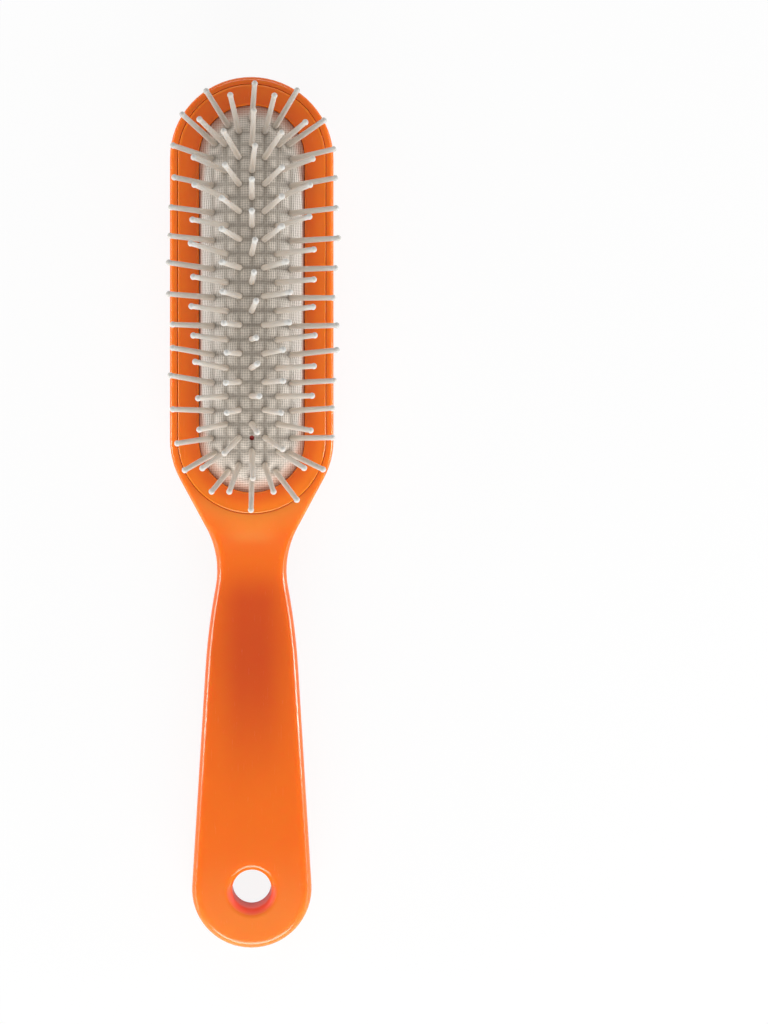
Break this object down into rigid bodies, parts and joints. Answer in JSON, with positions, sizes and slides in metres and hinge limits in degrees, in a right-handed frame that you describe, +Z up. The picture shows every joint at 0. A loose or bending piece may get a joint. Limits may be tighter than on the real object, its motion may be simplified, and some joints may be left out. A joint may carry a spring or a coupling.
{
  "type": "hair brush",
  "caption": "Air-cushion hair brush with a slim orange handle, a snap-in cushion ring, a cloth-faced domed pad and ball-tipped pins; hanging hole in the handle.",
  "frame": {"origin": "under the middle of the brush's length, on the table that it lies on with its pins up", "axes": "+X across the brush, +Y from the handle to the tip of the head, +Z up along the pins"},
  "size_m": [0.0429, 0.219, 0.0363],
  "materials": {
    "orange_plastic": "glossy",
    "orange_plastic_ring": "glossy",
    "cushion_rubber": "matt",
    "woven_cloth": "plain weave",
    "nylon": "satin"
  },
  "bodies": {
    "handle": {"handle_body": "orange_plastic", "cushion_ring": "orange_plastic_ring"},
    "cushion": {"rubber_membrane": "cushion_rubber", "cloth_facing": "woven_cloth"},
    "pins_centre_1": {"pins_centre_1": "nylon"},
    "pins_centre_2": {"pins_centre_2": "nylon"},
    "pins_centre_3": {"pins_centre_3": "nylon"},
    "pins_centre_4": {"pins_centre_4": "nylon"},
    "pins_inner_left_1": {"pins_inner_left_1": "nylon"},
    "pins_inner_left_2": {"pins_inner_left_2": "nylon"},
    "pins_inner_left_3": {"pins_inner_left_3": "nylon"},
    "pins_inner_right_1": {"pins_inner_right_1": "nylon"},
    "pins_inner_right_2": {"pins_inner_right_2": "nylon"},
    "pins_inner_right_3": {"pins_inner_right_3": "nylon"},
    "pins_mid_left_1": {"pins_mid_left_1": "nylon"},
    "pins_mid_left_2": {"pins_mid_left_2": "nylon"},
    "pins_mid_left_3": {"pins_mid_left_3": "nylon"},
    "pins_mid_right_1": {"pins_mid_right_1": "nylon"},
    "pins_mid_right_2": {"pins_mid_right_2": "nylon"},
    "pins_mid_right_3": {"pins_mid_right_3": "nylon"},
    "pins_outer_left_1": {"pins_outer_left_1": "nylon"},
    "pins_outer_left_2": {"pins_outer_left_2": "nylon"},
    "pins_outer_left_3": {"pins_outer_left_3": "nylon"},
    "pins_outer_right_1": {"pins_outer_right_1": "nylon"},
    "pins_outer_right_2": {"pins_outer_right_2": "nylon"},
    "pins_outer_right_3": {"pins_outer_right_3": "nylon"},
    "pins_corner_handle_left": {"pins_corner_handle_left": "nylon"},
    "pins_corner_handle_right": {"pins_corner_handle_right": "nylon"},
    "pins_corner_tip_left": {"pins_corner_tip_left": "nylon"},
    "pins_corner_tip_right": {"pins_corner_tip_right": "nylon"}
  },
  "joints": [
    {"name": "cushion_press", "type": "slide", "parent": "handle", "child": "cushion", "axis": [0, 0, 1], "range_m": [-0.0022, 0], "stiffness_N_per_m": 2500, "deforming": ["rubber_membrane", "cloth_facing"]},
    {"name": "pins_centre_1_rock", "type": "hinge", "parent": "cushion", "child": "pins_centre_1", "pos_m": [0, 0.01896, 0.01667], "axis": [0, 0.9525, 0.3044], "range_deg": [-6, 6], "stiffness_Nm_per_rad": 0.2},
    {"name": "pins_centre_2_rock", "type": "hinge", "parent": "cushion", "child": "pins_centre_2", "pos_m": [0, 0.04313, 0.02061], "axis": [0, 0.9994, 0.0333], "range_deg": [-6, 6], "stiffness_Nm_per_rad": 0.15},
    {"name": "pins_centre_3_rock", "type": "hinge", "parent": "cushion", "child": "pins_centre_3", "pos_m": [0, 0.06437, 0.02061], "axis": [0, 0.9994, -0.0333], "range_deg": [-6, 6], "stiffness_Nm_per_rad": 0.15},
    {"name": "pins_centre_4_rock", "type": "hinge", "parent": "cushion", "child": "pins_centre_4", "pos_m": [0, 0.08854, 0.01667], "axis": [0, 0.9525, -0.3044], "range_deg": [-6, 6], "stiffness_Nm_per_rad": 0.2},
    {"name": "pins_inner_left_1_rock", "type": "hinge", "parent": "cushion", "child": "pins_inner_left_1", "pos_m": [-0.00322, 0.02234, 0.01734], "axis": [0, 0.9686, 0.2485], "range_deg": [-6, 6], "stiffness_Nm_per_rad": 0.2},
    {"name": "pins_inner_left_2_rock", "type": "hinge", "parent": "cushion", "child": "pins_inner_left_2", "pos_m": [-0.00322, 0.05375, 0.0203], "axis": [0, 1, 0], "range_deg": [-6, 6], "stiffness_Nm_per_rad": 0.25},
    {"name": "pins_inner_left_3_rock", "type": "hinge", "parent": "cushion", "child": "pins_inner_left_3", "pos_m": [-0.00322, 0.08517, 0.01734], "axis": [0, 0.9686, -0.2485], "range_deg": [-6, 6], "stiffness_Nm_per_rad": 0.2},
    {"name": "pins_inner_right_1_rock", "type": "hinge", "parent": "cushion", "child": "pins_inner_right_1", "pos_m": [0.00322, 0.02234, 0.01734], "axis": [0, 0.9686, 0.2485], "range_deg": [-6, 6], "stiffness_Nm_per_rad": 0.2},
    {"name": "pins_inner_right_2_rock", "type": "hinge", "parent": "cushion", "child": "pins_inner_right_2", "pos_m": [0.00322, 0.05375, 0.0203], "axis": [0, 1, 0], "range_deg": [-6, 6], "stiffness_Nm_per_rad": 0.25},
    {"name": "pins_inner_right_3_rock", "type": "hinge", "parent": "cushion", "child": "pins_inner_right_3", "pos_m": [0.00322, 0.08517, 0.01734], "axis": [0, 0.9686, -0.2485], "range_deg": [-6, 6], "stiffness_Nm_per_rad": 0.2},
    {"name": "pins_mid_left_1_rock", "type": "hinge", "parent": "cushion", "child": "pins_mid_left_1", "pos_m": [-0.00655, 0.02574, 0.01701], "axis": [0, 0.983, 0.1835], "range_deg": [-6, 6], "stiffness_Nm_per_rad": 0.2},
    {"name": "pins_mid_left_2_rock", "type": "hinge", "parent": "cushion", "child": "pins_mid_left_2", "pos_m": [-0.00655, 0.05375, 0.01905], "axis": [0, 1, 0], "range_deg": [-6, 6], "stiffness_Nm_per_rad": 0.2},
    {"name": "pins_mid_left_3_rock", "type": "hinge", "parent": "cushion", "child": "pins_mid_left_3", "pos_m": [-0.00655, 0.08176, 0.01701], "axis": [0, 0.983, -0.1835], "range_deg": [-6, 6], "stiffness_Nm_per_rad": 0.2},
    {"name": "pins_mid_right_1_rock", "type": "hinge", "parent": "cushion", "child": "pins_mid_right_1", "pos_m": [0.00655, 0.02574, 0.01701], "axis": [0, 0.983, 0.1835], "range_deg": [-6, 6], "stiffness_Nm_per_rad": 0.2},
    {"name": "pins_mid_right_2_rock", "type": "hinge", "parent": "cushion", "child": "pins_mid_right_2", "pos_m": [0.00655, 0.05375, 0.01905], "axis": [0, 1, 0], "range_deg": [-6, 6], "stiffness_Nm_per_rad": 0.2},
    {"name": "pins_mid_right_3_rock", "type": "hinge", "parent": "cushion", "child": "pins_mid_right_3", "pos_m": [0.00655, 0.08176, 0.01701], "axis": [0, 0.983, -0.1835], "range_deg": [-6, 6], "stiffness_Nm_per_rad": 0.2},
    {"name": "pins_outer_left_1_rock", "type": "hinge", "parent": "cushion", "child": "pins_outer_left_1", "pos_m": [-0.00999, 0.02917, 0.01519], "axis": [0, 0.994, 0.1091], "range_deg": [-6, 6], "stiffness_Nm_per_rad": 0.2},
    {"name": "pins_outer_left_2_rock", "type": "hinge", "parent": "cushion", "child": "pins_outer_left_2", "pos_m": [-0.00999, 0.05375, 0.01634], "axis": [0, 1, 0], "range_deg": [-6, 6], "stiffness_Nm_per_rad": 0.15},
    {"name": "pins_outer_left_3_rock", "type": "hinge", "parent": "cushion", "child": "pins_outer_left_3", "pos_m": [-0.00999, 0.07833, 0.01519], "axis": [0, 0.994, -0.1091], "range_deg": [-6, 6], "stiffness_Nm_per_rad": 0.2},
    {"name": "pins_outer_right_1_rock", "type": "hinge", "parent": "cushion", "child": "pins_outer_right_1", "pos_m": [0.00999, 0.02917, 0.01519], "axis": [0, 0.994, 0.1091], "range_deg": [-6, 6], "stiffness_Nm_per_rad": 0.2},
    {"name": "pins_outer_right_2_rock", "type": "hinge", "parent": "cushion", "child": "pins_outer_right_2", "pos_m": [0.00999, 0.05375, 0.01634], "axis": [0, 1, 0], "range_deg": [-6, 6], "stiffness_Nm_per_rad": 0.15},
    {"name": "pins_outer_right_3_rock", "type": "hinge", "parent": "cushion", "child": "pins_outer_right_3", "pos_m": [0.00999, 0.07833, 0.01519], "axis": [0, 0.994, -0.1091], "range_deg": [-6, 6], "stiffness_Nm_per_rad": 0.2},
    {"name": "pins_corner_handle_left_rock", "type": "hinge", "parent": "cushion", "child": "pins_corner_handle_left", "pos_m": [-0.00747, 0.01298, 0.01333], "axis": [-0.5924, 0.8021, 0.0752], "range_deg": [-6, 6], "stiffness_Nm_per_rad": 0.1},
    {"name": "pins_corner_handle_right_rock", "type": "hinge", "parent": "cushion", "child": "pins_corner_handle_right", "pos_m": [0.00747, 0.01298, 0.01333], "axis": [0.5924, 0.8021, 0.0752], "range_deg": [-6, 6], "stiffness_Nm_per_rad": 0.1},
    {"name": "pins_corner_tip_left_rock", "type": "hinge", "parent": "cushion", "child": "pins_corner_tip_left", "pos_m": [-0.00747, 0.09452, 0.01333], "axis": [0.5924, 0.8021, -0.0752], "range_deg": [-6, 6], "stiffness_Nm_per_rad": 0.1},
    {"name": "pins_corner_tip_right_rock", "type": "hinge", "parent": "cushion", "child": "pins_corner_tip_right", "pos_m": [0.00747, 0.09452, 0.01333], "axis": [-0.5924, 0.8021, -0.0752], "range_deg": [-6, 6], "stiffness_Nm_per_rad": 0.1}
  ]
}
